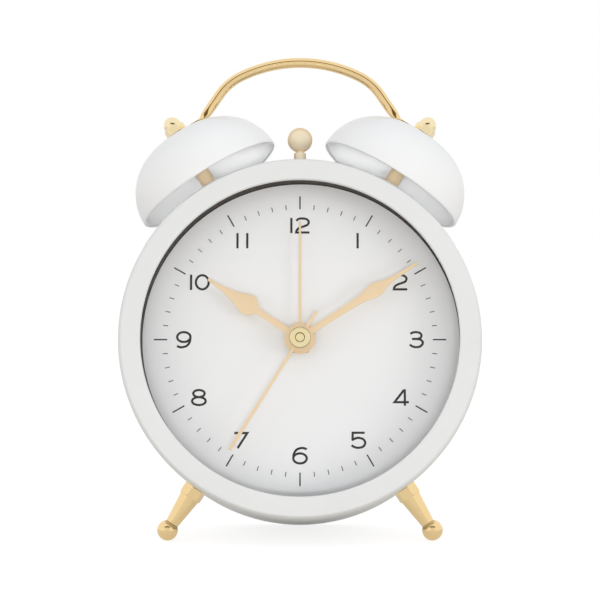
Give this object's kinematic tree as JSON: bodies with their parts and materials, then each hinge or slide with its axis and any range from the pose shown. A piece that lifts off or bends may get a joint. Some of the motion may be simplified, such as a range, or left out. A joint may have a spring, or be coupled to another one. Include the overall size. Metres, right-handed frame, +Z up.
{
  "type": "twin bell alarm clock",
  "caption": "Round table clock leaning on ball feet, with hands that turn together, a hammer that swings between tilted bells, and an arched carrying handle.",
  "frame": {"origin": "centre of the outline's footprint, on the table", "axes": "+Z up, the dial faces -Y and leans back, +X to the right as seen from the front"},
  "size_m": [0.115, 0.0716, 0.1552],
  "materials": {
    "white_paint": "satin",
    "lens": "clear",
    "dark_ring": "satin",
    "dial_paper": "matte",
    "back_plastic": "matte",
    "steel": "satin",
    "brass": "polished",
    "hand_gold": "satin",
    "black_plastic": "matte",
    "iron": "matte",
    "winding": "satin",
    "board": "satin",
    "battery_sleeve": "satin"
  },
  "bodies": {
    "case": {"case_drum": "white_paint", "front_bezel": "white_paint", "glass_lens": "lens", "dial_ring": "dark_ring", "dial": "dial_paper", "back_cover": "back_plastic", "back_screws": "steel", "bell_left": "white_paint", "bell_right": "white_paint", "bell_post_left": "brass", "bell_post_right": "brass", "post_nuts": "brass", "bell_nut_left": "brass", "bell_nut_right": "brass", "handle": "brass", "foot_left": "brass", "foot_right": "brass", "foot_nuts": "brass", "movement_housing": "black_plastic", "movement_cover": "black_plastic", "dial_nut": "brass", "stator": "iron", "motor_coil": "winding", "circuit_board": "board", "battery": "battery_sleeve", "battery_contact_plus": "steel", "battery_contact_minus": "steel", "hammer_bracket": "steel", "hammer_pin": "steel", "magnet_core": "iron", "magnet_coil": "winding"},
    "second_group": {"second_hand": "hand_gold", "second_cap": "brass", "second_wheel": "brass"},
    "minute_group": {"minute_hand": "hand_gold", "cannon_pinion": "brass"},
    "hour_group": {"hour_hand": "hand_gold", "hour_wheel": "brass"},
    "setting_group": {"setting_wheel": "brass", "time_knob": "black_plastic"},
    "alarm_group": {"alarm_hand": "hand_gold", "alarm_wheel": "brass"},
    "alarm_knob_group": {"alarm_arbor": "brass", "alarm_knob": "black_plastic"},
    "rotor_group": {"rotor": "iron"},
    "hammer": {"hammer_arm": "brass", "hammer_ball": "brass", "armature": "iron"},
    "switch": {"alarm_switch": "black_plastic"},
    "door": {"battery_door": "back_plastic"}
  },
  "joints": [
    {"name": "minute_spin", "type": "hinge", "parent": "case", "child": "minute_group", "pos_m": [0, -0.01238, 0.06281], "axis": [0, 0.9781, -0.2079], "continuous": true},
    {"name": "hour_spin", "type": "hinge", "parent": "case", "child": "hour_group", "pos_m": [0, -0.01238, 0.06281], "axis": [0, 0.9781, -0.2079], "continuous": true},
    {"name": "setting_spin", "type": "hinge", "parent": "case", "child": "setting_group", "pos_m": [0.012, 0.00523, 0.05907], "axis": [0, 0.9781, -0.2079], "continuous": true},
    {"name": "second_spin", "type": "hinge", "parent": "case", "child": "second_group", "pos_m": [0, -0.01238, 0.06281], "axis": [0, 0.9781, -0.2079], "continuous": true},
    {"name": "rotor_spin", "type": "hinge", "parent": "case", "child": "rotor_group", "pos_m": [0, -0.0006, 0.07012], "axis": [0, 0.9781, -0.2079], "continuous": true},
    {"name": "alarm_spin", "type": "hinge", "parent": "case", "child": "alarm_group", "pos_m": [0, -0.01238, 0.06281], "axis": [0, 0.9781, -0.2079], "continuous": true},
    {"name": "alarm_knob_spin", "type": "hinge", "parent": "case", "child": "alarm_knob_group", "pos_m": [-0.0117, 0.00523, 0.05907], "axis": [0, 0.9781, -0.2079], "continuous": true},
    {"name": "hammer_swing", "type": "hinge", "parent": "case", "child": "hammer", "pos_m": [0, 0.00726, 0.09748], "axis": [0, 0.9781, -0.2079], "range_deg": [-7, 7], "stiffness_Nm_per_rad": 0.02},
    {"name": "switch_slide", "type": "slide", "parent": "case", "child": "switch", "axis": [1, 0, 0], "range_m": [0, 0.004]},
    {"name": "door_lift", "type": "slide", "parent": "case", "child": "door", "axis": [0, 0.9781, -0.2079], "range_m": [0, 0.02]}
  ],
  "couplings": [
    {"joint": "hour_spin", "follows": "minute_spin", "ratio": 0.083333},
    {"joint": "setting_spin", "follows": "minute_spin", "ratio": -0.33333},
    {"joint": "rotor_spin", "follows": "second_spin", "ratio": -5},
    {"joint": "alarm_knob_spin", "follows": "alarm_spin", "ratio": -2}
  ]
}
